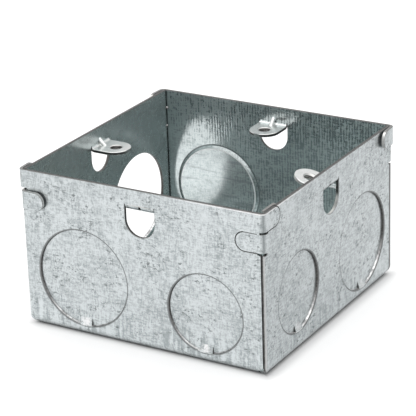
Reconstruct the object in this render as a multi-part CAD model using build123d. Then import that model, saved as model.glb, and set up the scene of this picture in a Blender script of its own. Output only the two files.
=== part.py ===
"""Wall box folded from a single blank of galvanised sheet, with knockouts, corner tabs and screw lugs.

Millimetres. The origin is the centre of the base's underside, +Z points out of the open mouth, and the
front wall faces -Y. Each fold is the sheet's section, extruded, so the thickness is the same all round.
"""

import math
import os

from build123d import *

# Sheet and overall form
SHEET = 0.9  # thickness of the blank
SIDE = 72.5  # outside of one wall to outside of the wall facing it
DEPTH = 44.4  # underside of the base to the rim
BASE_BEND = 1.6  # inside radius of the four base folds
SEAM = 0.12  # open joint between a wall's end and the wall that covers it
OPEN_SEAM = 0.3  # the same joint at the one corner that has sprung open

# Corner tabs: the upper one grows from the front or back wall, the lower one from a side wall
TAB_HEIGHT = 5.1
TAB_LENGTH = 7.2  # outer corner to the rounded end, for a tab that stands proud
TAB_BEND = 0.5  # inside radius of the fold round the corner
TAB_SLIT = 0.5  # gap between the two tabs, and below the lower one
TAB_CLEAR = 0.15  # gap between a tab and what it lies on or in
TAB_LIFT = 3.0  # degrees by which a tab that isn't pressed home springs off its wall
POCKET_LAP = 0.8  # how far the back of a pressed pocket reaches past its mouth

# Screw lugs, cut out of the walls and folded inwards
LUG_CENTRES = 60.3  # between the tapped holes of two lugs that face each other
LUG_DROP = 5.0  # rim to the top of the lugs
LUG_WIDTH = 8.7
LUG_REACH = 9.3  # inner face of the wall to the lug's tip
LUG_BEND = 0.9  # inside radius of the lug's fold
BENT_LUG_TILT = 17.0  # degrees above level of the one lug that has been bent up
WINDOW_HEIGHT = 8.8
WINDOW_CLEAR = 0.1  # lug's edge to the window's edge
SCREW_HOLE = 2.9  # core of the tapped hole
SCREW_LIP = 0.4  # mouth of the hole, drawn in by the plunge
COLLAR = 4.5  # outside of the plunged collar
COLLAR_DROP = 0.6  # collar below the lug
DART = 1.1  # leg of the stiffening dart in the lug's fold
DART_RIB = 0.7  # radius of its rib on the inside
DART_DENT = 0.3  # half width of its dent on the outside
DART_DEPTH = 0.35  # depth of the dent

# Knockouts, half sheared inwards and held by one tag at the bottom
KNOCK_LARGE = 26.8
KNOCK_SMALL = 21.5
KNOCK_OFFSET = 18.5  # wall's middle to the knockout's axis
KNOCK_SILL = 0.6  # base fold to the lowest knockouts
KNOCK_PUSH = 0.62  # how far a disc is pushed in, less than the sheet
KNOCK_DRAW = 0.2  # how much wider the recess is at its mouth, in radius
KNOCK_SHOULDER = 0.9  # width of the slope round the disc's back
TAG_WIDTH = 3.6
TAG_RAMP = 2.0  # length of the tag's slope on either side of the shear

# Base: fixing slots, one small knockout and the earth boss with its screw
FIX_CENTRES = 50.0
FIX_WIDTH = 5.0
FIX_LENGTH = 10.0
EARTH_X = 20.0
EARTH_Y = 20.0
EARTH_RAISE = 3.4  # boss above the base
EARTH_TOP = 9.5  # flat top of the boss
EARTH_FLARE = 1.2  # how much wider the boss's foot is, in radius
EARTH_HOLE = 3.5
THREAD_CLEAR = 0.05
EARTH_LENGTH = 3.6  # screw below its head
EARTH_HEAD = 8.0
EARTH_HEAD_HEIGHT = 2.6
EARTH_HEAD_EDGE = 0.5
EARTH_SLOT = 1.2
EARTH_SLOT_DEPTH = 1.2

# Places that follow from the sizes
HALF = SIDE / 2
INSIDE = HALF - SHEET
FOLD = BASE_BEND + SHEET
TAB_FOLD = TAB_BEND + SHEET
FLAT_END = HALF - FOLD  # edge of the flat base
SEAM_END = INSIDE - SEAM  # where a wall stops behind the one that covers its end
TAB_START = HALF - TAB_FOLD  # where a wall turns into its tab
TAB_PROUD = TAB_CLEAR + SHEET  # how far a tab that lies on a wall stands out
TAB_BACK = SEAM_END - SHEET - TAB_CLEAR  # where a wall stops behind a tab that is pressed home
UPPER_Z = DEPTH - TAB_HEIGHT  # underside of the upper tabs
TAB_STEP = TAB_HEIGHT + TAB_SLIT  # upper tab to lower tab
LUG_TOP = DEPTH - LUG_DROP
LUG_UNDER = LUG_TOP - SHEET
WINDOW_TOP = LUG_UNDER + LUG_BEND + SHEET
KNOCK_BASE_Z = FOLD + KNOCK_SILL
LARGE_Z = KNOCK_BASE_Z + KNOCK_LARGE / 2
SMALL_Z = KNOCK_BASE_Z + KNOCK_SMALL / 2
EARTH_SEAT = SHEET + EARTH_RAISE

# The walls in order round the box, each a quarter turn on from the last
WALLS = ("front", "right", "back", "left")
LARGE_ON_LEFT = ("front", "left")  # seen from outside; the others have the large knockout on the right
SMALL_LOW = ("front", "back")  # the others have the small knockout level with the large one
OPEN_WALL = "left"  # its large knockout has been taken out
BENT_LUG_WALL = "right"  # its lug has been bent up
CORNERS = [(1, -1), (-1, -1), (1, 1), (-1, 1)]
FLUSH_CORNER = (1, -1)  # the corner whose tabs are pressed home, also the one that has sprung open

STAND = (Align.CENTER, Align.CENTER, Align.MIN)
HANG = (Align.CENTER, Align.CENTER, Align.MAX)
FROM_CORNER = (Align.MIN, Align.MIN, Align.MIN)


def section(points, bend):
    """Section of the sheet: its outer face follows the points, its thickness is to the left of travel."""
    outer = FilletPolyline(*points, radius=bend + SHEET)
    return make_face(outer.offset_2d(SHEET, side=Side.LEFT).edges())


def tongue(length, width):
    """Outline from X = 0 to a half round end at X = length, centred on the X axis."""
    straight = length - width / 2
    return Pos(straight / 2, 0) * Rectangle(straight, width) + Pos(straight, 0) * Circle(width / 2)


def channel():
    """Base with the front and back walls. Past the side folds the flat of the base is left out."""
    line = section([(-HALF, DEPTH), (-HALF, 0), (HALF, 0), (HALF, DEPTH)], BASE_BEND)
    body = extrude(Plane.YZ * line, HALF, both=True)
    for side in (-1, 1):
        past = Pos(side * (FLAT_END + HALF) / 2, 0, SHEET / 2)
        body -= past * Box(FOLD, 2 * FLAT_END, SHEET)
    return body


def between_walls(inset):
    """Room between the front and back walls, this far inside their outer faces and folds."""
    reach = HALF - inset
    turns = [(-reach, DEPTH), (-reach, inset), (reach, inset), (reach, DEPTH)]
    low = FilletPolyline(*turns, radius=FOLD - inset)
    top = Line(turns[-1], turns[0])
    return extrude(Plane.YZ * make_face([*low.edges(), top]), SIDE, both=True)


def covered_end(seam):
    """What the left wall lacks at the front left corner, where the front wall covers its end."""
    corner = Pos(-HALF, -HALF, 0) * Box(FOLD, FOLD + seam, DEPTH, align=FROM_CORNER)
    return corner - between_walls(SHEET + seam)


def folded_walls():
    """Base and walls: two channels that share the base.

    Going round, each wall covers the last one's end and is rounded at its foot like that wall's fold.
    """
    gap = covered_end(SEAM)
    sides = (Rot(0, 0, 90) * channel() & between_walls(0)) - [gap, Rot(0, 0, 180) * gap]
    wide = Rot(0, 0, 90) * covered_end(OPEN_SEAM)
    ends = (channel() & Rot(0, 0, 90) * between_walls(0)) - [wide, Rot(0, 0, 270) * gap]
    return ends + sides


def upper_tab(flush):
    """Upper tab of the front right corner, from the front wall round onto the right wall."""
    proud = 0 if flush else TAB_PROUD
    length = TAB_LENGTH + TAB_PROUD - proud
    lift = 0 if flush else length * math.tan(math.radians(TAB_LIFT))
    face = HALF + proud
    path = [(TAB_START - SHEET, -HALF), (face, -HALF), (face + lift, length - HALF)]
    strip = extrude(Pos(0, 0, UPPER_Z) * section(path, TAB_BEND), TAB_HEIGHT)
    outline = Pos(-SIDE, UPPER_Z + TAB_HEIGHT / 2) * tongue(HALF + length, TAB_HEIGHT)
    return strip & extrude(Plane.YZ * outline, SIDE)


def tab_room(flush):
    """What the front and right walls leave free for their corner's upper tab and the slit below it."""
    low = UPPER_Z - TAB_SLIT
    tall = DEPTH - low
    reach = TAB_BACK if flush else SEAM_END
    own = Pos(TAB_START, -HALF, low) * Box(TAB_FOLD, SHEET, tall, align=FROM_CORNER)
    return own + Pos(INSIDE, -HALF, low) * Box(SHEET, HALF - reach, tall, align=FROM_CORNER)


def under_tab(grow, near, far):
    """Block in the right wall under a flush upper tab, grown all round, between two depths."""
    spare = TAB_CLEAR + grow
    outline = tongue(TAB_LENGTH + TAB_PROUD + spare, TAB_HEIGHT + 2 * spare)
    block = extrude(Plane.YZ * Pos(-HALF, UPPER_Z + TAB_HEIGHT / 2) * outline, far - near)
    return split(Pos(HALF - far, 0, 0) * block, Plane.XZ.offset(TAB_BACK), keep=Keep.BOTTOM)


def to_lower(shape):
    """Turns what belongs to an upper tab into what belongs to the lower tab of the same corner."""
    return Pos(0, 0, -TAB_STEP) * mirror(shape, about=Plane(origin=(0, 0, 0), z_dir=(1, 1, 0)))


def to_corner(shape, corner):
    """Moves a shape of the front right corner to another corner."""
    if corner[0] < 0:
        shape = mirror(shape, about=Plane.YZ)
    if corner[1] > 0:
        shape = mirror(shape, about=Plane.XZ)
    return shape


def window():
    """D-shaped hole that the front wall's lug leaves."""
    outline = Pos(0, WINDOW_TOP) * Rot(0, 0, -90) * tongue(WINDOW_HEIGHT, LUG_WIDTH + 2 * WINDOW_CLEAR)
    return Pos(0, -INSIDE, 0) * extrude(Plane.XZ * outline, 2 * SHEET)


def lug(tilt):
    """Lug of the front wall with its fold, plunged hole and stiffening dart, and the dart's dent.

    The tilt, in degrees, is how far the lug stands above level.
    """
    fold = LUG_BEND + SHEET
    tangent = fold * math.tan(math.radians(90 + tilt) / 2)
    corner_z = WINDOW_TOP - tangent
    run = tangent + LUG_REACH + SHEET - fold
    reach_y = run * math.cos(math.radians(tilt)) - HALF
    reach_z = run * math.sin(math.radians(tilt)) + corner_z
    path = [(-HALF, WINDOW_TOP + SHEET), (-HALF, corner_z), (reach_y, reach_z)]
    strip = extrude(Plane.YZ * section(path, LUG_BEND), LUG_WIDTH / 2, both=True)

    # What belongs to the flat of the lug is placed for a level lug and swung about the fold's axis
    axis = Pos(0, fold - HALF, WINDOW_TOP)
    swing = axis * Rot(tilt, 0, 0) * axis.inverse()
    outline = Pos(0, -SIDE) * Rot(0, 0, 90) * tongue(SIDE - INSIDE + LUG_REACH, LUG_WIDTH)
    body = strip & swing * extrude(outline, 2 * DEPTH)
    under = LUG_UNDER - COLLAR_DROP
    tall = LUG_TOP - under
    at_hole = swing * Pos(0, -LUG_CENTRES / 2, under)
    body += at_hole * Cylinder(COLLAR / 2, tall, align=STAND)
    body -= at_hole * Cylinder(SCREW_HOLE / 2, tall, align=STAND)
    lip = Cone(SCREW_HOLE / 2, SCREW_HOLE / 2 + SCREW_LIP, SCREW_LIP, align=STAND)
    body -= at_hole * Pos(0, 0, tall - SCREW_LIP) * lip

    # The dart crosses the middle of the fold: a rib on the inside, a shallow dent on the outside
    half_way = axis * Rot(tilt / 2, 0, 0) * axis.inverse() * Pos(0, -INSIDE, LUG_TOP)
    slant = Pos(0, DART / 2, DART / 2) * Rot(45, 0, 0)
    rib = Cylinder(DART_RIB, 4 * DART) + Pos(0, -DART / 2, 0) * Box(2 * DART_RIB, DART, 4 * DART)
    room = Box(SIDE, SIDE, SIDE, align=(Align.CENTER, Align.MIN, Align.MIN))
    body += half_way * (slant * rib & Pos(0, -SHEET / 2, -SHEET / 2) * room)
    groove = Box(2 * DART_DENT, 4 * SHEET, 4 * DART, align=(Align.CENTER, Align.MAX, Align.CENTER))
    outer_face = (LUG_BEND - DART / 2) * math.sqrt(2) - fold
    return body, half_way * slant * Pos(0, outer_face + DART_DEPTH, 0) * groove


def knockout(diameter):
    """Half-sheared disc in a wall whose outer face is Y = 0: the disc's back, the recess and the tag."""
    radius = diameter / 2
    inwards = Rot(-90, 0, 0)
    disc = Cone(radius, radius - KNOCK_SHOULDER, KNOCK_PUSH, align=STAND)
    sink = Cone(radius + KNOCK_DRAW, radius, KNOCK_PUSH, align=STAND)
    ramp = Polyline(
        (0, -radius - 2 * KNOCK_DRAW),
        (KNOCK_PUSH, TAG_RAMP - radius),
        (KNOCK_PUSH + SHEET, TAG_RAMP - radius),
        (SHEET, -radius - TAG_RAMP),
        close=True,
    )
    tag = extrude(Plane.YZ * make_face(ramp), TAG_WIDTH / 2, both=True)
    return Pos(0, SHEET, 0) * inwards * disc, inwards * sink, tag


def box_shell():
    """The whole folded blank."""
    body = folded_walls()
    for corner in CORNERS:
        room = tab_room(corner == FLUSH_CORNER)
        body -= [to_corner(room, corner), to_corner(to_lower(room), corner)]
    mouth = under_tab(0, 0, SHEET + TAB_CLEAR)
    back = under_tab(POCKET_LAP, SHEET, 2 * SHEET + TAB_CLEAR)
    body += [to_corner(back, FLUSH_CORNER), to_corner(to_lower(back), FLUSH_CORNER)]
    body = split(body, Plane.XY.offset(DEPTH), keep=Keep.BOTTOM)
    body -= [to_corner(mouth, FLUSH_CORNER), to_corner(to_lower(mouth), FLUSH_CORNER)]
    for corner in CORNERS:
        tab = upper_tab(corner == FLUSH_CORNER)
        body += [to_corner(tab, corner), to_corner(to_lower(tab), corner)]

    for quarter, name in enumerate(WALLS):
        wall = Rot(0, 0, 90 * quarter)
        large_side = -1 if name in LARGE_ON_LEFT else 1
        small_z = SMALL_Z if name in SMALL_LOW else LARGE_Z
        flap, dent = lug(BENT_LUG_TILT if name == BENT_LUG_WALL else 0)
        body -= wall * window()
        body += wall * flap
        body -= wall * dent
        face = wall * Pos(0, -HALF, 0)
        at_large = face * Pos(large_side * KNOCK_OFFSET, 0, LARGE_Z)
        at_small = face * Pos(-large_side * KNOCK_OFFSET, 0, small_z)
        pressed = [(at_small, KNOCK_SMALL)]
        if name == OPEN_WALL:
            body -= at_large * Rot(90, 0, 0) * Cylinder(KNOCK_LARGE / 2, 4 * SHEET)
        else:
            pressed.append((at_large, KNOCK_LARGE))
        for place, diameter in pressed:
            disc, sink, tag = knockout(diameter)
            body += place * disc
            body -= place * sink
            body += place * tag

    disc, sink, tag = knockout(KNOCK_SMALL)
    underside = Rot(90, 0, 0)
    body += underside * disc
    body -= underside * sink
    body += underside * tag
    for side in (-1, 1):
        slot = SlotOverall(FIX_LENGTH, FIX_WIDTH)
        body -= Pos(side * FIX_CENTRES / 2, 0, 0) * extrude(slot, SHEET)

    at_earth = Pos(EARTH_X, EARTH_Y, 0)
    top = EARTH_TOP / 2
    foot = top + EARTH_FLARE
    body += at_earth * Pos(0, 0, SHEET) * Cone(foot, top, EARTH_RAISE, align=STAND)
    body -= at_earth * Cone(foot - SHEET, top - SHEET, EARTH_RAISE, align=STAND)
    body -= at_earth * Cylinder(EARTH_HOLE / 2, EARTH_SEAT, align=STAND)
    return body


def earth_screw():
    """Slotted cheese head screw, seated on the earth boss."""
    head = Cylinder(EARTH_HEAD / 2, EARTH_HEAD_HEIGHT, align=STAND)
    head = chamfer(head.faces().sort_by(Axis.Z)[-1].edges(), EARTH_HEAD_EDGE)
    slot = Box(2 * EARTH_HEAD, EARTH_SLOT, EARTH_SLOT_DEPTH, align=HANG)
    head -= Pos(0, 0, EARTH_HEAD_HEIGHT) * slot
    shank = Pos(0, 0, -EARTH_LENGTH) * Cylinder(EARTH_HOLE / 2 - THREAD_CLEAR, EARTH_LENGTH, align=STAND)
    return Pos(EARTH_X, EARTH_Y, EARTH_SEAT) * (head + shank)


os.makedirs("parts", exist_ok=True)
for name, solid in (("box_shell", box_shell()), ("earth_screw", earth_screw())):
    export_step(solid, f"parts/{name}.step")
    print(name, "solids", len(solid.solids()), "volume", round(solid.volume, 1), "valid", solid.is_valid)
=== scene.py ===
# %% [markdown]
# # A galvanised steel wall box
#
# The box is folded from one blank of zinc-coated sheet. Its solids come finished from the part's own
# source, so this lesson is about looks: how the cut edges of thin sheet catch the light, how bright zinc is
# shaded, and how the box is set on a pale floor. The first cell loads the solids and keeps their outer box.

# %% Load the solids
import math

import bmesh
import bpy
from mathutils import Matrix, Vector
from mathutils.bvhtree import BVHTree


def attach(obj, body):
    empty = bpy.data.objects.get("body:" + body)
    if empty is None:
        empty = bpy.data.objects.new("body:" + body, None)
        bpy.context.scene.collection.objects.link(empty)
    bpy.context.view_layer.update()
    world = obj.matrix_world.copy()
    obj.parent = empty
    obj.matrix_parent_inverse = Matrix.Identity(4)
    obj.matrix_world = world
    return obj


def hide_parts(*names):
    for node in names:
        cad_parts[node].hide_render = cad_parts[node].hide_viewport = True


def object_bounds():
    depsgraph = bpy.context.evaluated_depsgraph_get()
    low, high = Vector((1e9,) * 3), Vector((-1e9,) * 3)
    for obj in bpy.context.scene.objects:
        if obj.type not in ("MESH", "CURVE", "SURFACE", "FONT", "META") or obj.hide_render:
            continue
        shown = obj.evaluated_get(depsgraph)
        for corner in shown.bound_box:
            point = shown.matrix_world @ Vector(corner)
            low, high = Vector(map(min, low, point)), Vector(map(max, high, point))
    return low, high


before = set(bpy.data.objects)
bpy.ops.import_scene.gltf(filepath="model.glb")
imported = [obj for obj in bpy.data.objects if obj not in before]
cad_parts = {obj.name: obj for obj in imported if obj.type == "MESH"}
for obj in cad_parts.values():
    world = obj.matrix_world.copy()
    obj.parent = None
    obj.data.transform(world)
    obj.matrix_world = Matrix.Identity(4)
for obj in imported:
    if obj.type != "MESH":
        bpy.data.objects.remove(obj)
cad_low, cad_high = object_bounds()
cad_size = [round(1000 * (high - low), 1) for low, high in zip(cad_low, cad_high)]
print("solids:", sorted(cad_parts), "box in mm:", cad_size)

# %% [markdown]
# ## The sheet and its parts
#
# The steps below tell the faces of the box apart by where they lie, so the places that matter are named
# once, in metres. They are sizes that the solids were built from, or places between two of their forms. The
# walls are nearly alike, so a place on any wall is given by how far it is from the box's axis, how far from
# the wall's own middle, and how high. Only the rim is read from the solids' box, because nothing stands
# above it.

# %% Name the sizes
SHEET = 0.0009
HALF = 0.03625  # middle of the box to the outside of a wall
RIM = cad_high[2]
BASE_TOP = 0.002  # just above the base
KNOCKOUT_TOP = 0.03  # the knockouts lie below this, the lugs and tabs above
WINDOW_SILL = 0.0308
TAB_UNDER = 0.0337  # underside of the lower tabs
LUG_TOP = 0.0394
HOLE_AT = 0.03015  # middle of the box to the axis of a lug's hole
COLLAR = 0.0019  # radius that holds a lug's hole and its collar
LUG_SIDE = 0.006  # middle of a wall to past the side of its lug
DART_SIDE = 0.001  # and to the side of the dart in the lug's fold
POCKET_FROM = 0.026  # and to where the pockets for the tabs begin
WALL_FLAT = 0.033  # and to where the corner begins
KNOCK_AT = 0.0185  # and to the middle of a knockout
LEVEL_Z, LOW_Z = 0.0165, 0.01385  # axes of the knockouts that are level, and of the low small ones
print("sheet in mm:", round(1000 * SHEET, 2), "wall to wall:", round(2000 * HALF, 1))

# %% [markdown]
# ## What each face of the sheet is
#
# A galvanised blank is coated before it is sheared and folded. Its broad faces are bright zinc and the
# sheared edges are bare steel. A tight fold gets painted shade, and the tags of the knockouts are rubbed
# bright and get a painted highlight. These faces could be picked by hand, but the sheet itself tells them
# apart. A ray that goes straight in through a coated face comes out after one thickness of sheet, and a ray
# that goes in through a sheared edge runs on for much longer. A fold faces between the walls, and a tag
# leans a little out of its wall. Each answer is kept on the faces as a number that the material reads
# later. The last two numbers, for rolled faces and for the shoulders' painted highlights, wait for the step
# that makes those faces.

# %% Copy the box and tell its sheared faces
MARKS = ("sheared", "folded", "rubbed_and_highlight", "inner", "rolled", "shoulder_highlight")
SAME_PLACE = 1e-6
LONG_WAY_IN = 1.35 * SHEET
LEVEL = 0.9  # a face whose normal points up or down by more than this counts as level
UPRIGHT = 0.35  # and by less than this, as upright
RIM_FACE = RIM - 0.1 * SHEET
CLEAR_OF_WALLS = HALF - 1.2 * SHEET

shell = bmesh.new()
shell.from_mesh(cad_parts["box_shell"].data)
bmesh.ops.remove_doubles(shell, verts=shell.verts, dist=SAME_PLACE)
shell.normal_update()
solid = BVHTree.FromBMesh(shell)
marks = {name: shell.faces.layers.float.new(name) for name in MARKS}


def is_sheared(face, middle):
    """True where the sheet was cut: the way in is long, except at a lug's collar or a pressed pocket."""
    way_out = solid.ray_cast(middle - SAME_PLACE * face.normal, -face.normal, LONG_WAY_IN)[0]
    out, across = sorted((abs(middle.x), abs(middle.y)), reverse=True)
    within = out < CLEAR_OF_WALLS and middle.z > KNOCKOUT_TOP
    if middle.z > RIM_FACE and face.normal.z > LEVEL:
        return True
    if within and math.hypot(out - HOLE_AT, across) < COLLAR:
        return abs(face.normal.z) < LEVEL
    if within and across < LUG_SIDE:
        return way_out is None and abs(face.normal.z) < UPRIGHT and across > DART_SIDE
    return way_out is None and not (within and across > POCKET_FROM)


print("copied:", len(shell.faces), "faces")

# %% Mark every face
OUTER_FACE = HALF - 0.9 * SHEET
UNDERSIDE = 0.8 * SHEET
TAG_LEVEL = 0.01  # the middles of the tags' faces lie below this
TAG_FACING = (0.93, 0.985)  # how squarely a tag faces out of its wall
TAG_LEAN = 0.1  # and by how much, at least, it leans up
INWARDS = -0.6  # a face that faces out of its wall by less than this faces into the box
FULL_SLANT = 1 - math.sqrt(0.5)  # what a face half-way round a fold lacks of facing along an axis
# The steps get a painted highlight, brighter the more they look up.
STEP_HIGHLIGHT, STEP_HIGHLIGHT_FROM, STEP_HIGHLIGHT_MOST = 1.6, 0.35, 0.8  # how bright a step is, by how far it looks up


def mark_face(face):
    """Keeps on a face what it is."""
    middle = face.calc_center_median()
    axis = 0 if abs(middle.x) > abs(middle.y) else 1
    facing = face.normal[axis] * math.copysign(1, middle[axis])
    up = face.normal.z
    sheared = is_sheared(face, middle)
    outside = max(abs(middle.x), abs(middle.y)) > OUTER_FACE or middle.z < UNDERSIDE
    tag = TAG_FACING[0] < facing < TAG_FACING[1] and up > TAG_LEAN and middle.z < TAG_LEVEL
    step = sheared and BASE_TOP < middle.z < KNOCKOUT_TOP
    slant = (1 - max(abs(part) for part in face.normal)) / FULL_SLANT
    base_inside = up > LEVEL and middle.z < TAG_LEVEL
    face[marks["sheared"]] = float(sheared)
    # Faces round a fold are kept for painted shade.
    face[marks["folded"]] = slant if outside and not sheared and not tag else 0.0
    face[marks["inner"]] = float(not sheared and not outside and (facing < INWARDS or base_inside))
    if tag:
        face[marks["rubbed_and_highlight"]] = 1.0
    elif step:
        face[marks["rubbed_and_highlight"]] = min(max(STEP_HIGHLIGHT * up - STEP_HIGHLIGHT_FROM, 0.0), STEP_HIGHLIGHT_MOST)


def is_marked(face, name):
    """True if a face carries a mark by more than half."""
    return face[marks[name]] > 0.5


for face in shell.faces:
    mark_face(face)
print("marked:", {name: sum(is_marked(face, name) for face in shell.faces) for name in MARKS})

# %% [markdown]
# ## Edges that the press has rounded
#
# The solids arrive as triangles. Flat neighbours are dissolved into larger faces first, which leaves the
# edges that the sheet really has. Two kinds of edge are then found by what their two faces are marked as.
# Where a coated face meets a sheared one, the shear has rolled the edge over. Where two inner faces meet at
# a blunt angle, a half-sheared disc has raised a soft shoulder. A bevel modifier could find edges by their
# angle alone, but it couldn't tell these two apart. Next to a tag the shear has no step to roll over, so
# those edges are left as they are.

# %% Find the edges
FLAT = math.radians(0.2)
CUT_ANGLE = math.radians(50)
SHOULDER_ANGLE = (0.5, 0.7)  # radians
WALL_FACE = HALF - 0.2 * SHEET
TAG_TOP = 0.0075
TAG_CLEAR = 0.0024  # middle of a tag to where the shear has its full step
FOLD_TOP = 0.003  # just above the folds at the base

bmesh.ops.dissolve_limit(
    shell, angle_limit=FLAT, verts=shell.verts, edges=shell.edges, use_dissolve_boundaries=False
)


def place_of(edge):
    """How far an edge's middle lies from the box's axis and from its wall's middle, and how high."""
    middle = (edge.verts[0].co + edge.verts[1].co) / 2
    return max(abs(middle.x), abs(middle.y)), min(abs(middle.x), abs(middle.y)), middle.z


def at_tag(edge):
    """True next to a knockout's tag."""
    _, across, up = place_of(edge)
    return up < TAG_TOP and abs(across - KNOCK_AT) < TAG_CLEAR


def cut_edges(punched):
    """The edges between a coated and a sheared face: round the outside of the knockouts, or above them."""
    found = []
    for edge in shell.edges:
        sheared = [is_marked(face, "sheared") for face in edge.link_faces if not is_marked(face, "rolled")]
        if sorted(sheared) != [False, True] or edge.calc_face_angle() < CUT_ANGLE:
            continue
        out, across, up = place_of(edge)
        if punched:
            wanted = out > WALL_FACE and across < WALL_FLAT and up < WINDOW_SILL and not at_tag(edge)
        else:
            wanted = up > WINDOW_SILL
        if wanted:
            found.append(edge)
    return found


def shoulder_edges():
    """The edges of the soft shoulders that the half-sheared discs raise on the inside."""
    found = []
    for edge in shell.edges:
        if len(edge.link_faces) == 2 and SHOULDER_ANGLE[0] < edge.calc_face_angle() < SHOULDER_ANGLE[1]:
            inner = all(is_marked(face, "inner") for face in edge.link_faces)
            if inner and place_of(edge)[2] > FOLD_TOP and not at_tag(edge):
                found.append(edge)
    return found


print("faces left:", len(shell.faces))

# %% [markdown]
# ## Rounding them
#
# The edges are bevelled group by group, because each has its own width. A shoulder gets the widest round.
# A painted highlight goes along its top and painted shade along its foot, so the new faces are marked by
# how proud of the wall they stand. The outside of a knockout has a rolled edge with a second, shallower
# bevel that leads into it. The windows, lugs and rim have the narrowest roll. Where a rolled edge runs out,
# a bevel can leave a sliver that is turned over. Each face is compared with the solid that it came from,
# and such slivers are collapsed.

# %% Helpers that round edges
PUNCH_ROLL = 0.0002
SLIVER = 5e-7  # the most that a sliver covers, in square metres
NEXT_TO = 0.6 * PUNCH_ROLL
TURNED_OVER = 0.2  # a face that agrees less than this with the solid next to it is turned over


def round_off(edges, width, steps):
    """Rounds the edges and returns the new faces."""
    print("rounded:", len(edges), "edges by", round(1000 * width, 2), "mm")
    return bmesh.ops.bevel(
        shell, geom=edges, offset=width, offset_type="OFFSET", segments=steps, profile=0.5, affect="EDGES",
        clamp_overlap=False, material=-1,
    )["faces"]


def roll_over(edges, width, steps, rolled=1.0):
    """Rounds sheared edges and marks the new faces with how far they are rolled."""
    for face in round_off(edges, width, steps):
        for name, layer in marks.items():
            face[layer] = rolled if name == "rolled" else 0.0


def leads_in(edge):
    """True between the coat and a rolled edge, where the roll begins."""
    faces = edge.link_faces
    rolls_begin = sorted(face[marks["rolled"]] for face in faces) == [0.0, 1.0]
    coated = not any(is_marked(face, "sheared") for face in faces)
    return rolls_begin and coated and edge.calc_length() > 2 * PUNCH_ROLL and not at_tag(edge)


def sliver_edges():
    """The shortest edge of each sliver that is turned over against the solid next to it."""
    found = set()
    for face in shell.faces:
        near = solid.find_nearest_range(face.calc_center_median(), NEXT_TO)
        turned_over = near and max(normal.dot(face.normal) for _, normal, _, _ in near) < TURNED_OVER
        if turned_over and face.calc_area() < SLIVER:
            found.add(min(face.edges, key=lambda edge: edge.calc_length()))
    return list(found)


print("helpers ready")

# %% Round the shoulders and roll the cut edges over
SHOULDER_ROUND = 0.0003
LEAD_IN = 0.00014
SHEAR_ROLL = 0.00008
BRIGHT_STRIP = (0.00050, 0.00061)  # how proud of the wall the bright line on a shoulder is
DARK_STRIP = 0.00008  # and the most that the dark line at its foot is
LEAD_IN_ROLLED = 0.7  # how far the lead-in counts as rolled

# Painted highlight along each shoulder's top, painted shade along its foot.
for face in round_off(shoulder_edges(), SHOULDER_ROUND, steps=3):
    middle = face.calc_center_median()
    proud = HALF - SHEET - max(abs(middle.x), abs(middle.y))
    face[marks["inner"]] = 1.0
    face[marks["shoulder_highlight"]] = float(BRIGHT_STRIP[0] < proud < BRIGHT_STRIP[1])
    face[marks["folded"]] = float(proud < DARK_STRIP)
roll_over(cut_edges(punched=True), PUNCH_ROLL, steps=2)
roll_over([edge for edge in shell.edges if leads_in(edge)], LEAD_IN, steps=1, rolled=LEAD_IN_ROLLED)
roll_over(cut_edges(punched=False), SHEAR_ROLL, steps=1)
slivers = sliver_edges()
bmesh.ops.collapse(shell, edges=slivers)
print("slivers taken out:", len(slivers))

# %% [markdown]
# ## One clean skin
#
# Edges sharper than a fold's facets are kept hard, and the rest is shaded smooth. Smooth shading alone
# would bend the light on a broad wall towards its folds. Weighting the normals by face area keeps the walls
# flat right up to them. The finished copy then stands in for the solid.

# %% Shade the skin
SHARP = math.radians(28)

for edge in shell.edges:
    edge.smooth = len(edge.link_faces) == 2 and edge.calc_face_angle() < SHARP
for face in shell.faces:
    face.smooth = True
box_mesh = bpy.data.meshes.new("steel_box")
shell.to_mesh(box_mesh)
shell.free()
box_mesh.materials.clear()
steel_box = bpy.data.objects.new("steel_box", box_mesh)
bpy.context.scene.collection.objects.link(steel_box)
weigh = steel_box.modifiers.new("keep walls flat", "WEIGHTED_NORMAL")
weigh.keep_sharp = True
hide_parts("box_shell")
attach(steel_box, "root")
print("skin:", len(box_mesh.polygons), "faces")

# %% [markdown]
# ## Threads in the lugs
#
# The plate that covers the box is held by two screws, so the lugs' holes are tapped. A thread could be a
# texture, but the light on its turns is what makes a hole read as tapped. A small three-cornered profile is
# spun about the hole's axis with a rise for each step, which makes a helix, and its two ends are closed.

# %% Spin one thread
HOLE_RADIUS = 0.00145
PITCH = 0.0005
TURNS = 2
STEPS = 22  # to a turn
THREAD_LOW = 0.0379
THREAD_DEEP = 0.00015
THREAD_FOOT = 0.00002  # how far the thread reaches into the lug
FLANK = 0.4  # half the width of its foot, in pitches

ridge = bmesh.new()
foot = HOLE_RADIUS + THREAD_FOOT
corners = [(foot, -FLANK), (HOLE_RADIUS - THREAD_DEEP, 0.0), (foot, FLANK)]
profile = [ridge.verts.new((radius, 0, THREAD_LOW + (FLANK + up) * PITCH)) for radius, up in corners]
edges = [ridge.edges.new((profile[i - 1], profile[i])) for i in range(3)]
bmesh.ops.contextual_create(ridge, geom=edges)
spun = bmesh.ops.spin(
    ridge, geom=profile + edges, cent=(0, 0, 0), axis=(0, 0, 1), dvec=(0, 0, PITCH / STEPS),
    angle=TURNS * 2 * math.pi, steps=TURNS * STEPS, use_merge=False,
)
last_edges = [item for item in spun["geom_last"] if isinstance(item, bmesh.types.BMEdge)]
bmesh.ops.contextual_create(ridge, geom=last_edges)
bmesh.ops.recalc_face_normals(ridge, faces=ridge.faces)
one_thread = bpy.data.meshes.new("one_thread")
ridge.to_mesh(one_thread)
ridge.free()
print("one thread:", len(one_thread.polygons), "faces")

# %% [markdown]
# ## One thread for each lug
#
# The four lugs differ by a quarter turn, so the thread is copied and turned into place. The right lug has
# been bent up, and takes its thread with it: that copy is also swung about the axis of the lug's fold.

# %% Put the threads in place
BENT = math.radians(17)

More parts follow.
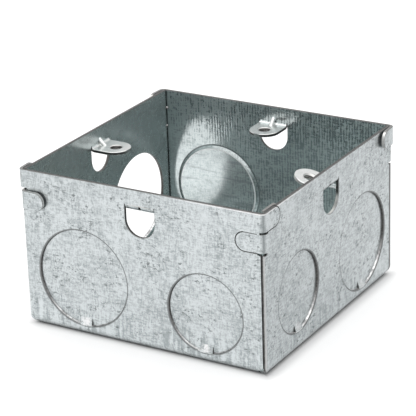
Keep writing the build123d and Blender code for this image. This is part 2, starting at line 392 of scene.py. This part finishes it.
threads = bmesh.new()
fold_axis = Matrix.Translation((HALF - 2 * SHEET, 0, LUG_TOP + SHEET))
swing = fold_axis @ Matrix.Rotation(BENT, 4, "Y") @ fold_axis.inverted()
for quarter in range(4):
    placed = Matrix.Rotation(quarter * math.pi / 2, 4, "Z") @ Matrix.Translation((HOLE_AT, 0, 0))
    before = len(threads.verts)
    threads.from_mesh(one_thread)
    threads.verts.ensure_lookup_table()
    matrix = swing @ placed if quarter == 0 else placed
    bmesh.ops.transform(threads, matrix=matrix, verts=threads.verts[before:])
thread_mesh = bpy.data.meshes.new("lug_threads")
threads.to_mesh(thread_mesh)
threads.free()
bpy.data.meshes.remove(one_thread)
lug_threads = bpy.data.objects.new("lug_threads", thread_mesh)
bpy.context.scene.collection.objects.link(lug_threads)
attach(lug_threads, "root")
print("threads:", len(thread_mesh.polygons), "faces")

# %% [markdown]
# ## Writing a material as sums
#
# A material is a net of nodes. Drawn by hand it is quick, but in a script each sum takes several lines. The
# small class below stands for one socket, so that a sum such as `1 - mask * 0.3` writes its own Math nodes.
# Every other kind of node comes from its one method, which takes the settings first and then what goes into
# the sockets.

# %% The socket class
class Flow:
    """One output socket in a node tree. Arithmetic on it adds Math nodes."""

    def __init__(self, tree, socket=None):
        self.tree = tree
        self.socket = socket

    def node(self, kind, settings=None, inputs=None, out=0):
        """Adds any node: its settings, then its sockets' values or links. Returns the output asked for."""
        made = self.tree.nodes.new(kind)
        for name, value in (settings or {}).items():
            setattr(made, name, value)
        for name, value in (inputs or {}).items():
            if isinstance(value, Flow):
                self.tree.links.new(value.socket, made.inputs[name])
            else:
                made.inputs[name].default_value = value
        return Flow(self.tree, made.outputs[out] if len(made.outputs) else None)

    def math(self, operation, *values):
        """Adds a Math node."""
        return self.node("ShaderNodeMath", {"operation": operation}, dict(enumerate(values)))

    def __add__(self, other):
        return self.math("ADD", self, other)

    def __sub__(self, other):
        return self.math("SUBTRACT", self, other)

    def __rsub__(self, other):
        return self.math("SUBTRACT", other, self)

    def __mul__(self, other):
        return self.math("MULTIPLY", self, other)

    def __abs__(self):
        return self.math("ABSOLUTE", self)

    __radd__ = __add__
    __rmul__ = __mul__

    def most(self, other):
        """The larger of two values."""
        return self.math("MAXIMUM", self, other)

    def least(self, other):
        """The smaller of two values."""
        return self.math("MINIMUM", self, other)

    def hypot(self, other):
        """The distance that two offsets at right angles make."""
        return self.math("SQRT", self * self + other * other)

    def ease(self, low, high, start=0.0, end=1.0):
        """Goes smoothly from start to end as the value goes from low to high."""
        ends = {"Value": self, "From Min": low, "From Max": high, "To Min": start, "To Max": end}
        return self.node("ShaderNodeMapRange", {"interpolation_type": "SMOOTHSTEP"}, ends)

    def blend(self, first, second):
        """Mixes two colours, with this value as the share of the second."""
        sockets = {0: self, 6: first, 7: second}
        return self.node("ShaderNodeMix", {"data_type": "RGBA", "clamp_factor": True}, sockets, out=2)

    def noise(self, place, scale, stretch=(1, 1, 1), detail=2.0, roughness=0.5):
        """Cloudy value between 0 and 1, with lumps of about 1/scale metres, drawn out by the stretch."""
        at = self.node("ShaderNodeMapping", {}, {"Vector": place, "Scale": [1 / s for s in stretch]})
        sizes = {"Vector": at, "Scale": scale, "Detail": detail, "Roughness": roughness}
        return self.node("ShaderNodeTexNoise", {}, sizes)

    def mark(self, name):
        """A number kept on the mesh's faces."""
        return self.node("ShaderNodeAttribute", {"attribute_name": name}, out="Fac")

    def along(self, place):
        """The three coordinates of a place."""
        return [self.node("ShaderNodeSeparateXYZ", {}, {0: place}, out=axis) for axis in range(3)]


print("socket class ready")

# %% [markdown]
# ## What every material shares
#
# Each material starts empty, reads the object's own coordinates and ends in one surface. The metals differ
# only in colour, gloss and bump, so one function makes them all.

# %% Helpers for materials
MIDDLE = 0.5  # of a noise


def new_material(name):
    """An empty material, the start of its nodes and the object's own coordinates."""
    material = bpy.data.materials.new(name)
    material.use_nodes = True
    material.node_tree.nodes.clear()
    start = Flow(material.node_tree)
    return material, start, start.node("ShaderNodeTexCoord", out="Object")


def metal(start, colour, roughness, normal, metallic=1.0):
    """A bare metal surface."""
    sockets = {"Base Color": colour, "Metallic": metallic, "Roughness": roughness, "Normal": normal}
    return start.node("ShaderNodeBsdfPrincipled", {}, sockets)


def bumped(start, height, strength, distance, normal=None):
    """The surface's normal, tipped by a height."""
    sockets = {"Height": height, "Strength": strength, "Distance": distance}
    if normal:
        sockets["Normal"] = normal
    return start.node("ShaderNodeBump", {}, sockets, out="Normal")


def finish_surface(start, shader):
    """Joins a shader to the material's output."""
    start.node("ShaderNodeOutputMaterial", {}, {"Surface": shader})


print("helpers ready")

# %% [markdown]
# ## Bright zinc
#
# Zinc from a coating line is never one tone. Close up it has a weave of fine marks along and across the
# wall, a grain, and cloudy patches. A picture of zinc could be wrapped round the box, but it would stretch
# at the folds. Here all of it is noise on the object's own coordinates, drawn out upright or level, so it
# runs on round the corners. What the noises add up to is how dull the zinc is at each point.

# %% The weave, the grain and the clouds
WEAVE_SCALE, GRAIN_SCALE, CLOUD_SCALE, PATCH_SCALE = 2300, 2600, 300, 80  # lumps to a metre
DRAWN_UPRIGHT, DRAWN_LEVEL = (1, 1, 4), (4, 4, 1)
WEAVE_DULLS, GRAIN_DULLS, CLOUD_DULLS, PATCH_DULLS = 1.9, 1.6, 1.5, 0.8

zinc, start, place = new_material("galvanised_zinc")
x, y, z = start.along(place)
inner = start.mark("inner")
upright = start.noise(place, WEAVE_SCALE, DRAWN_UPRIGHT, detail=3, roughness=0.6)
level = start.noise(place, WEAVE_SCALE, DRAWN_LEVEL, detail=3, roughness=0.6)
weave = upright + level - 2 * MIDDLE
grain = start.noise(place, GRAIN_SCALE, detail=3, roughness=0.7)
cloud = start.noise(place, CLOUD_SCALE, detail=5, roughness=0.7)
patch = start.noise(place, PATCH_SCALE, detail=2)
dullness = weave * WEAVE_DULLS + (grain - MIDDLE) * GRAIN_DULLS
dullness = dullness + (cloud - MIDDLE) * CLOUD_DULLS + (patch - MIDDLE) * PATCH_DULLS
print("zinc's weave:", len(zinc.node_tree.nodes), "nodes")

# %% [markdown]
# ## Drawn streaks, and the lines of the back wall
#
# Folding drags the zinc over the tool, which leaves upright streaks low on the walls, fainter on the right
# wall. High up and to the right, the inside of the back wall has fine upright lines instead, nearly regular
# and about 0.85 mm apart. Noise alone looks too blotchy for these. A sine wave across the wall is regular,
# and some noise in its phase makes its lines waver. Both marks are added to the dullness, so they have the
# zinc's own colours. Where the back wall has lines, it is also made lighter towards the left, as a painted
# reflection.

# %% Streaks and lines
STREAK_SCALE, STREAK_OUT, STREAK_DULLS = 1000, (1, 1, 14), 3.4
STREAK_FADE = (0.003, 0.012)
OUTER_RIGHT = (0.0355, 0.0360)
FAINT = 0.45
LINE_TURNS = 7400  # radians of the wave to a metre
WAVER_SCALE, WAVER_OUT, WAVER = 1900, (1, 1, 8), 7
WAVER_SHARE, LINE_SHARE = 0.5, 0.13
BACK_INSIDE = (0.033, 0.034)
LINES_UP, LINES_RIGHT, LINES_RIGHT_MOST = (0.026, 0.040), (-0.018, -0.006), 0.6
LINE_DULLS, LINE_WEAVE_DULLS = 7, 5
BACK_PAINTED_REFLECTION, REFLECTION_LEFT_DULLS, REFLECTION_RIGHT_DULLS = (-0.03, 0.01), -1.1, 0.1
BRIGHTEST, DULLEST = -0.53, 0.72

streak = start.noise(place, STREAK_SCALE, STREAK_OUT, detail=2) - MIDDLE
low_down = z.ease(*STREAK_FADE, 1.0, 0.0) * x.ease(*OUTER_RIGHT, 1.0, FAINT)
waver = start.noise(place, WAVER_SCALE, WAVER_OUT, detail=2) - MIDDLE
lines = waver * WAVER_SHARE + start.math("SINE", x * LINE_TURNS + waver * WAVER) * LINE_SHARE
lined = inner * y.ease(*BACK_INSIDE) * z.ease(*LINES_UP).most(x.ease(*LINES_RIGHT, 0.0, LINES_RIGHT_MOST))
line_dullness = lines * LINE_DULLS + weave * LINE_WEAVE_DULLS
# Painted reflection: the lined back wall is lighter towards the left.
line_dullness = line_dullness + x.ease(*BACK_PAINTED_REFLECTION, REFLECTION_LEFT_DULLS, REFLECTION_RIGHT_DULLS)
dullness = dullness + streak * low_down * STREAK_DULLS + lined * line_dullness
dullness = dullness.ease(BRIGHTEST, DULLEST)
print("with streaks and lines:", len(zinc.node_tree.nodes), "nodes")

# %% [markdown]
# ## The zinc's colours
#
# Dullness is turned into colour between a light and a dull zinc. Inside the box both are a little greener,
# and lighter as painted light. Dark flecks lie on top, where the coat is pitted. They come in clusters, so
# a fine noise that gives the flecks is multiplied by a coarse one that says where they are. On the folds
# the zinc is darkened as painted shade. The lugs are nearly plain, and lighter as painted light.

# %% Colours, flecks and painted shade on the folds
ZINC_LIGHT = (0.66, 0.70, 0.71, 1.0)
ZINC_DULL = (0.38, 0.415, 0.422, 1.0)
# Inside colours: a little greener, and lighter than the outside ones as painted light.
ZINC_INSIDE_LIT = (0.665, 0.725, 0.725, 1.0)
ZINC_INSIDE_DULL_LIT = (0.47, 0.525, 0.525, 1.0)
ZINC_LINED = (0.29, 0.33, 0.335, 1.0)
FLECK_AND_CORNER_SHADE = (0.12, 0.135, 0.135, 1.0)
FOLD_SHADE_COLOUR = (0.27, 0.295, 0.30, 1.0)
LUG_PAINTED_LIGHT = (0.70, 0.70, 0.685, 1.0)
CLUSTER_SCALE, CLUSTER_EDGE = 140, (0.42, 0.60)
FLECK_SCALE, FLECK_OUT, FLECK_EDGE = 1150, (1.5, 1.5, 1), (0.55, 0.61)
FLECK_OUTSIDE, FLECK_LESS_INSIDE = 0.75, 0.45
FOLD_SHADE_SHARE, FOLD_SHADE_GRAIN = 0.4, 0.9
FOLD_SHADE_RISE, FOLD_SHADE_LOW, FOLD_SHADE_HIGH = (0.004, 0.012), 0.35, 1.3
LUG_LEVEL, LUG_SHARE = (0.034, 0.036), 0.7
INSIDE_FACE = (HALF - 1.3 * SHEET, HALF - 1.1 * SHEET)  # from the lugs, across this, to the walls

dull = lined.blend(inner.blend(ZINC_DULL, ZINC_INSIDE_DULL_LIT), ZINC_LINED)
colour = dullness.blend(inner.blend(ZINC_LIGHT, ZINC_INSIDE_LIT), dull)
clusters = start.noise(place, CLUSTER_SCALE, detail=3).ease(*CLUSTER_EDGE)
fleck = start.noise(place, FLECK_SCALE, FLECK_OUT, detail=4, roughness=0.75).ease(*FLECK_EDGE) * clusters
colour = (fleck * (FLECK_OUTSIDE - inner * FLECK_LESS_INSIDE)).blend(colour, FLECK_AND_CORNER_SHADE)
# Painted shade on the folds, with some grain, stronger higher up.
fold_shade = start.mark("folded") * (FOLD_SHADE_SHARE + grain * FOLD_SHADE_GRAIN)
fold_shade = fold_shade * z.ease(*FOLD_SHADE_RISE, FOLD_SHADE_LOW, FOLD_SHADE_HIGH)
colour = fold_shade.blend(colour, FOLD_SHADE_COLOUR)
far_x, far_y = abs(x), abs(y)
reach, near = far_x.most(far_y), far_x.least(far_y)
on_lug = reach.ease(*INSIDE_FACE, 1.0, 0.0)
# Painted light: the lugs are lighter and plainer than the walls.
colour = (on_lug * z.ease(*LUG_LEVEL) * LUG_SHARE).blend(colour, LUG_PAINTED_LIGHT)
print("with colours:", len(zinc.node_tree.nodes), "nodes")

# %% [markdown]
# ## Painted shade round the knockouts and a painted highlight on the lip
#
# A thin line of painted shade lies just outside each knockout. Lines drawn one by one would need eight
# circles. Every wall has a large and a small knockout, equally far from its middle, so two circles serve
# all four walls, once a point is counted along its own wall. Only the small ones' height differs, between
# the side walls and the others. Under the rim, near the front right corner, a painted highlight lies on the
# lip.

# %% Painted shade round the knockouts, and the lip's painted highlight
KNOCKOUT_SHADE = (0.16, 0.165, 0.165, 1.0)
RUBBED_AND_HIGHLIGHT = (0.88, 0.88, 0.88, 1.0)
KNOCKOUT_SHADE_LARGE, KNOCKOUT_SHADE_SMALL = 0.0138, 0.01115  # its radii round a large and a small knockout
KNOCKOUT_SHADE_EDGE = (0.00008, 0.00030)
KNOCKOUT_SHADE_SHARE, KNOCKOUT_SHADE_UNEVEN = 0.35, 0.3
UNEVEN_SCALE, UNEVEN_EDGE = 1500, (0.35, 0.7)
LIP_HIGHLIGHT_UP = (RIM - 0.0005, RIM - 0.0003)
LIP_HIGHLIGHT_NEAR_CORNER = (0.040, 0.060)  # of x - y, which grows towards that corner
LIP_HIGHLIGHT_SHARE, LIP_HIGHLIGHT_UNEVEN = 0.5, 0.5

uneven = start.noise(place, UNEVEN_SCALE, detail=3, roughness=0.7).ease(*UNEVEN_EDGE)
on_side = start.math("GREATER_THAN", far_x, far_y)
along_wall = on_side * (x + y) - x
small_z = on_side * (LEVEL_Z - LOW_Z) + LOW_Z


def ring(along, up, radius):
    """1 on a thin circle about a knockout's axis, 0 elsewhere."""
    return abs(along.hypot(up) - radius).ease(*KNOCKOUT_SHADE_EDGE, 1.0, 0.0)


knockout_shade_rings = ring(along_wall - KNOCK_AT, z - LEVEL_Z, KNOCKOUT_SHADE_LARGE)
knockout_shade_rings = knockout_shade_rings + ring(along_wall + KNOCK_AT, z - small_z, KNOCKOUT_SHADE_SMALL)
# Painted shade in a thin line round each knockout.
colour = (knockout_shade_rings * (1 - inner) * (KNOCKOUT_SHADE_SHARE + uneven * KNOCKOUT_SHADE_UNEVEN)).blend(colour, KNOCKOUT_SHADE)
# Painted highlight along the rim's lip near the front right corner.
rim_lip_highlight = z.ease(*LIP_HIGHLIGHT_UP) * (x - y).ease(*LIP_HIGHLIGHT_NEAR_CORNER) * (1 - inner) * (LIP_HIGHLIGHT_SHARE + uneven * LIP_HIGHLIGHT_UNEVEN)
colour = rim_lip_highlight.blend(colour, RUBBED_AND_HIGHLIGHT)
print("with grime:", len(zinc.node_tree.nodes), "nodes")

# %% [markdown]
# ## Sheared edges
#
# A shear first rolls the edge over and cuts it clean, then the rest of the thickness tears. So an edge has
# a thin bright strip next to the outer face and a dark, rough remainder. How deep a point lies under the
# outer face says which of the two it is: that depth is counted from the outside of the wall, or from the
# top of a lug. The ends of the walls, which meet at the corners' seams, are lighter and go dark only deep
# in the seam. The lower edge of the right wall's window gets a painted highlight.

# %% The edges and their rolled rims
TORN = (0.06, 0.057, 0.055, 1.0)
TORN_LIGHT = (0.13, 0.13, 0.127, 1.0)
CLEAN_CUT = (0.60, 0.60, 0.585, 1.0)
WALL_END = (0.50, 0.51, 0.51, 1.0)
ROLLED_SHADE = (0.17, 0.175, 0.175, 1.0)
ROLLED_RIM = (0.13, 0.13, 0.128, 1.0)
ROLLED_HIGHLIGHT = (0.80, 0.80, 0.79, 1.0)
BELOW_TABS = (TAB_UNDER - 0.0003, TAB_UNDER)
RIM_TOP = (RIM - 0.0003, RIM - 0.0002)
CLEAN_DEPTH = (0.08 * SHEET, 0.30 * SHEET)
SEAM_DEPTH = (0.50 * SHEET, 0.65 * SHEET)
RIM_LESS_CLEAN = 0.7
END_SHARE, END_UNEVEN = 0.8, 0.2
RIGHT_WALL = (0.0345, 0.0350)
SILL_HIGHLIGHT_SIDE, SILL_HIGHLIGHT_UP = (0.006, 0.007), (0.0345, 0.0362)

at_corner = near.ease(*INSIDE_FACE) * z.ease(*BELOW_TABS, 1.0, 0.0)
depth = on_lug * (LUG_TOP - z) + (1 - on_lug) * (HALF - reach + at_corner * (reach - near))
on_rim = z.ease(*RIM_TOP)
clean = depth.ease(*CLEAN_DEPTH, 1.0, 0.0) * (1 - on_rim * RIM_LESS_CLEAN)
edge = clean.blend(uneven.blend(TORN, TORN_LIGHT), CLEAN_CUT)
in_seam = depth.ease(*SEAM_DEPTH)
edge = (at_corner * (1 - in_seam) * (END_SHARE + uneven * END_UNEVEN)).blend(edge, WALL_END)
# Painted highlight on the lower edge of the right wall's window.
window_sill_highlight = x.ease(*RIGHT_WALL) * near.ease(*SILL_HIGHLIGHT_SIDE, 1.0, 0.0) * z.ease(*SILL_HIGHLIGHT_UP, 1.0, 0.0)
edge = window_sill_highlight.blend(edge, CLEAN_CUT)
sheared = start.mark("sheared")
colour = sheared.blend(colour, edge)
# Rolled edges: painted shade round the knockouts and windows, a painted highlight on the lugs, dark on the
# rim.
rolled = on_rim.blend(on_lug.blend(ROLLED_SHADE, ROLLED_HIGHLIGHT), ROLLED_RIM)
colour = start.mark("rolled").blend(colour, rolled)
print("with edges:", len(zinc.node_tree.nodes), "nodes")

# %% [markdown]
# ## Tags, corners and shoulders
#
# The tag that holds a knockout is torn when the disc is pushed in, and its zinc is rubbed bright, with a
# painted highlight on top. Its solid has a clean outline, so the bright patch is kept within a ragged round
# about the tag's middle. On the right wall the tags are half as bright. The steps beside them get a painted
# highlight where they look up. The insides of the corners get painted shade, and the tops of the shoulders
# get a painted highlight.

# %% Rubbed places, painted highlights and painted shade
SHOULDER_HIGHLIGHT_COLOUR = (0.80, 0.82, 0.82, 1.0)
TAG_MIDDLE = 0.0040  # height of a tag's middle, except on the side walls' small knockouts
TAG_ROUND, TAG_RAGGED = (0.0008, 0.0013), 0.0010
TAG_DIMMED, RIGHT_DIMMED = 0.9, 0.5
# A tag's mark is rubbed zinc with a painted highlight, and a step's mark is painted highlight alone.
TAG_MARK = (0.85, 0.95)  # the tags are marked as rubbed by more than this, the steps by less
WORN_SCALE, WORN_EDGE = 700, (0.36, 0.58)
RUB_SHARE, RUB_UNEVEN = 0.35, 0.65
INSIDE_CORNER = (HALF - SHEET - 0.0005, HALF - SHEET - 0.0002)
CORNER_UP, CORNER_SHADE_SHARE = (0.002, 0.004), 0.8

rubbed_and_highlight = start.mark("rubbed_and_highlight")
worn = start.noise(place, WORN_SCALE, detail=4, roughness=0.7).ease(*WORN_EDGE)
on_small = start.math("LESS_THAN", along_wall, 0.0)
above_tag = z - TAG_MIDDLE - on_small * (small_z - LOW_Z)
from_tag = (near - KNOCK_AT).hypot(above_tag) + (uneven - MIDDLE) * TAG_RAGGED
dimmed = from_tag.ease(*TAG_ROUND, 0.0, TAG_DIMMED).most(x.ease(*RIGHT_WALL, 0.0, RIGHT_DIMMED))
rubbed_and_highlight = rubbed_and_highlight * (1 - rubbed_and_highlight.ease(*TAG_MARK) * dimmed)
colour = (rubbed_and_highlight * (RUB_SHARE + worn * RUB_UNEVEN)).blend(colour, RUBBED_AND_HIGHLIGHT)
# Painted shade in the box's inside corners.
corner_shade = inner * near.ease(*INSIDE_CORNER) * z.ease(*CORNER_UP)
colour = (corner_shade * CORNER_SHADE_SHARE).blend(colour, FLECK_AND_CORNER_SHADE)
shoulder_highlight = start.mark("shoulder_highlight")
colour = shoulder_highlight.blend(colour, SHOULDER_HIGHLIGHT_COLOUR)
print("with worn places:", len(zinc.node_tree.nodes), "nodes")

# %% [markdown]
# ## The disc that leans
#
# The back wall's large disc was pushed in a little askew, so it mirrors another part of the floor than its
# wall does. A lean of 2 to 3 degrees is too small to see in the outline, so it is given to the shading
# alone: a small vector is added to the normal over the disc. Dull level lines cross the disc.

# %% Dull lines and lean of the back disc
DISC_FLAT = 0.0124  # radius of the disc within its shoulder
BACK_HALF = 0.03
DISC_LINE_SCALE, DISC_LINE_OUT, DISC_LINE_EDGE, DISC_LINE_SHARE = 900, (16, 16, 1), (0.56, 0.64), 0.6
LEAN_X, LEAN_Z = -0.049, 0.04

off_axis = (x + KNOCK_AT).hypot(z - LEVEL_Z)
on_back = start.math("GREATER_THAN", y, BACK_HALF)
on_disc = inner * start.math("LESS_THAN", off_axis, DISC_FLAT) * on_back
disc_lines = start.noise(place, DISC_LINE_SCALE, DISC_LINE_OUT, detail=2).ease(*DISC_LINE_EDGE)
colour = (disc_lines * on_disc * DISC_LINE_SHARE).blend(colour, ZINC_DULL)
lean = start.node("ShaderNodeCombineXYZ", {}, {"X": on_disc * LEAN_X, "Z": on_disc * LEAN_Z})
square_on = start.node("ShaderNodeNewGeometry", out="Normal")
askew = start.node("ShaderNodeVectorMath", {"operation": "ADD"}, {0: square_on, 1: lean})
askew = start.node("ShaderNodeVectorMath", {"operation": "NORMALIZE"}, {0: askew})
print("with the disc:", len(zinc.node_tree.nodes), "nodes")

# %% [markdown]
# ## Gloss and haze
#
# Zinc has a short gloss with some haze round it. One roughness gives either a mirror or a blur, so two
# metals of the same colour are mixed, one sharp and one hazy. The weave and the lines also go into the
# bump, because what breaks up the mirror images inside the box is the surface's unevenness, not its colour.
# The painted highlights on the shoulders are less of a mirror, so that they stay light whatever they face.

# %% The whole surface
BUMP_STRENGTH, BUMP_HEIGHT = 0.5, 0.00003
BUMP_GRAIN, BUMP_LESS_INSIDE, BUMP_LINES = 0.3, 0.6, 4
GLOSS, GLOSS_DULL, GLOSS_SHEARED, GLOSS_INSIDE = 0.13, 0.08, 0.25, 0.05
LEFT_INSIDE, GLOSS_LEFT_INSIDE = (-0.035, -0.034), 0.14
HAZE, HAZE_DULL = 0.46, 0.10
HAZY_SHARE, HAZY_LESS_INSIDE = 0.38, 0.11
HIGHLIGHT_LESS_METAL = 0.6

height = (weave + grain * BUMP_GRAIN) * (1 - inner * BUMP_LESS_INSIDE + lined) + lines * lined * BUMP_LINES
bump = bumped(start, height, BUMP_STRENGTH, BUMP_HEIGHT, askew)
gloss = GLOSS + dullness * GLOSS_DULL + sheared * GLOSS_SHEARED - inner * GLOSS_INSIDE
gloss = gloss + inner * x.ease(*LEFT_INSIDE, GLOSS_LEFT_INSIDE, 0.0)
mirror = 1 - shoulder_highlight * HIGHLIGHT_LESS_METAL
sharp = metal(start, colour, gloss, bump, mirror)
hazy = metal(start, colour, HAZE + dullness * HAZE_DULL, bump, mirror)
share = HAZY_SHARE - inner * HAZY_LESS_INSIDE
finish_surface(start, start.node("ShaderNodeMixShader", {}, {0: share, 1: sharp, 2: hazy}))
box_mesh.materials.append(zinc)
print("zinc:", len(zinc.node_tree.nodes), "nodes")

# %% [markdown]
# ## Cut steel and brass
#
# The threads are cut into bare steel, which is darker than the zinc and stained with oil. The earth screw
# is turned from brass, a warm metal with faint rings from the lathe. Both are small, so a stain and one
# bump are enough.

# %% The thread's steel
CUT_LIGHT, CUT_DARK = (0.14, 0.135, 0.13, 1.0), (0.05, 0.047, 0.045, 1.0)
OIL_SCALE, OIL_EDGE = 1800, (0.35, 0.65)
CUT_GLOSS, CUT_GLOSS_OIL = 0.22, 0.2

steel, start, place = new_material("cut_steel")
oil = start.noise(place, OIL_SCALE, detail=3)
colour = oil.ease(*OIL_EDGE).blend(CUT_LIGHT, CUT_DARK)
square_on = start.node("ShaderNodeNewGeometry", out="Normal")
finish_surface(start, metal(start, colour, CUT_GLOSS + oil * CUT_GLOSS_OIL, square_on))
thread_mesh.materials.append(steel)
print("steel:", len(steel.node_tree.nodes), "nodes")

# %% The screw's brass
BRASS_LIGHT, BRASS_DARK = (0.79, 0.60, 0.28, 1.0), (0.58, 0.42, 0.19, 1.0)
TARNISH_SCALE, TARNISH_EDGE = 500, (0.35, 0.7)
RING_SCALE, RING_OUT = 2500, (4, 4, 1)
RING_STRENGTH, RING_HEIGHT = 0.3, 0.00002
BRASS_GLOSS, BRASS_GLOSS_TARNISH = 0.24, 0.12

brass, start, place = new_material("turned_brass")
lathe_rings = start.noise(place, RING_SCALE, RING_OUT, detail=2)
tarnish = start.noise(place, TARNISH_SCALE, detail=3)
colour = tarnish.ease(*TARNISH_EDGE).blend(BRASS_LIGHT, BRASS_DARK)
bump = bumped(start, lathe_rings, RING_STRENGTH, RING_HEIGHT)
finish_surface(start, metal(start, colour, BRASS_GLOSS + tarnish * BRASS_GLOSS_TARNISH, bump))
screw_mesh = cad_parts["earth_screw"].data
screw_mesh.materials.clear()
screw_mesh.materials.append(brass)
print("brass:", len(brass.node_tree.nodes), "nodes")

# %% [markdown]
# ## The floor
#
# The box stands on a plain white floor. A matt surface keeps the soft shadow of the box, and a painted
# shadow darkens it in a narrow band where the walls come down to it. Under even light such a floor renders
# as a pale grey, so it is lifted to white away from the box, for the camera only. More light would do that
# too, but it would wash out the zinc. The metal mirrors the floor as well, and there the lift is another
# one: painted pools of light in front of the box and to its left, and painted shade to its right.

# %% Floor plane
FLOOR_REACH = 4.0  # middle of the floor to its edge

floor_mesh = bpy.data.meshes.new("floor")
plane = bmesh.new()
bmesh.ops.create_grid(plane, x_segments=1, y_segments=1, size=FLOOR_REACH)
plane.to_mesh(floor_mesh)
plane.free()
floor = bpy.data.objects.new("floor", floor_mesh)
bpy.context.scene.collection.objects.link(floor)
print("floor:", len(floor_mesh.polygons), "face")

# %% Floor surface
CONTACT_SHADOW_COLOUR, FLOOR_PALE = (0.05, 0.05, 0.05, 1.0), (0.64, 0.64, 0.64, 1.0)
WHITE = (1, 1, 1, 1)
CONTACT_BAND = (-0.0026, -0.0008)  # the distance from the walls is less than 0 under the box
RIGHT_BAND, RIGHT_BAND_OUT = (0.034, 0.037), 0.0012  # the band reaches further out on the right
LIFT_BAND, LIFT = (-0.0019, 0.0022), 0.31
MIRRORED_BAND, MIRRORED_LIFT = (-0.0019, 0.002), 0.14
POOL_X, POOL_Y, POOL_LIFT = (-0.055, -0.037), (-0.045, -0.02), 0.30
WALL_POOL, WALL_POOL_Y, WALL_POOL_LIFT = (0.0, 0.025), (-0.036, -0.034), 0.25
FRONT_Y, FRONT_LIFT = (-0.06, -0.035), 0.08
RIGHT_X, RIGHT_MIRRORED_SHADE = (0.035, 0.06), -0.14

white, start, place = new_material("white_floor")
x, y, _ = start.along(place)
past_x, past_y = abs(x) - HALF, abs(y) - HALF
under = past_x.most(past_y).least(0.0)
from_walls = past_x.most(0.0).hypot(past_y.most(0.0)) + under
from_band = from_walls - x.ease(*RIGHT_BAND, 0.0, RIGHT_BAND_OUT)
# Painted contact shadow where the walls meet the floor.
shade = from_band.ease(*CONTACT_BAND).blend(CONTACT_SHADOW_COLOUR, FLOOR_PALE)
matt = start.node("ShaderNodeBsdfDiffuse", {}, {"Color": shade})

seen = start.node("ShaderNodeLightPath", out="Is Camera Ray")
in_metal = start.node("ShaderNodeLightPath", out="Is Glossy Ray")
mirrored = in_metal.most(start.node("ShaderNodeLightPath", out="Is Transmission Ray"))
# Painted light in the floor as the metal mirrors it: pools of light to the left and by the front wall,
# painted shade to the right.
left_light_pool = x.ease(*POOL_X, POOL_LIFT, 0.0) * y.ease(*POOL_Y)
front_wall_light_pool = from_walls.ease(*WALL_POOL, WALL_POOL_LIFT, 0.0) * y.ease(*WALL_POOL_Y, 1.0, 0.0)
image = MIRRORED_LIFT + left_light_pool + front_wall_light_pool
image = image + y.ease(*FRONT_Y, FRONT_LIFT, 0.0) + x.ease(*RIGHT_X, 0.0, RIGHT_MIRRORED_SHADE)
glow = seen * from_band.ease(*LIFT_BAND, 0.0, LIFT) + mirrored * from_walls.ease(*MIRRORED_BAND) * image
lift = start.node("ShaderNodeEmission", {}, {"Color": WHITE, "Strength": glow})
finish_surface(start, start.node("ShaderNodeAddShader", {}, {0: matt, 1: lift}))
floor_mesh.materials.append(white)
print("floor surface:", len(white.node_tree.nodes), "nodes")

# %% [markdown]
# ## Light
#
# Even white light from all round is a plain studio's: it shows every wall, and in the metal it is a white
# room. One wide soft light above gives the box a shadow to stand on. Smaller lights would draw hard streaks
# on the zinc.

# %% World and the light above
WORLD_STRENGTH = 1.0
LAMP_SIZE = 1.0
LAMP_POWER = 4.0
LAMP_UP = 0.7

world = bpy.data.worlds.new("studio")
world.use_nodes = True
world.node_tree.nodes.clear()
sky = Flow(world.node_tree)
daylight = sky.node("ShaderNodeBackground", {}, {"Color": WHITE, "Strength": WORLD_STRENGTH})
sky.node("ShaderNodeOutputWorld", {}, {"Surface": daylight})
bpy.context.scene.world = world

above = bpy.data.lights.new("light_above", "AREA")
above.size = LAMP_SIZE
above.energy = LAMP_POWER
lamp = bpy.data.objects.new("light_above", above)
lamp.location = (0, 0, LAMP_UP)
bpy.context.scene.collection.objects.link(lamp)
print("light:", above.size, "m wide,", round(lamp.location.z, 2), "m up")

# %% [markdown]
# ## Camera
#
# The camera's place comes from the picture itself: the corners of the rim and the base give where it stood
# and which way it looked. It looks along the negative of its third axis, so its three axes make up its
# rotation.

# %% Camera
SENSOR_MM = 36.0
LENS_MM = 171.02
CAMERA_AT = (0.25409, -0.42685, 0.22753)
CAMERA_RIGHT = Vector((0.86405, 0.50248, -0.03055))
CAMERA_UP = Vector((-0.16409, 0.33850, 0.92655))
CAMERA_BACK = Vector((0.47591, -0.79557, 0.37493))
NEAREST, FARTHEST = 0.01, 20.0

camera_data = bpy.data.cameras.new("camera")
camera_data.sensor_width = SENSOR_MM
camera_data.lens = LENS_MM
camera_data.clip_start = NEAREST
camera_data.clip_end = FARTHEST
camera = bpy.data.objects.new("camera", camera_data)
bpy.context.scene.collection.objects.link(camera)
turn = Matrix((CAMERA_RIGHT, CAMERA_UP, CAMERA_BACK)).transposed()
camera.matrix_world = Matrix.Translation(CAMERA_AT) @ turn.to_4x4()
bpy.context.scene.camera = camera
bpy.context.scene.view_settings.view_transform = "Standard"
print("camera at", [round(v, 3) for v in camera.location])
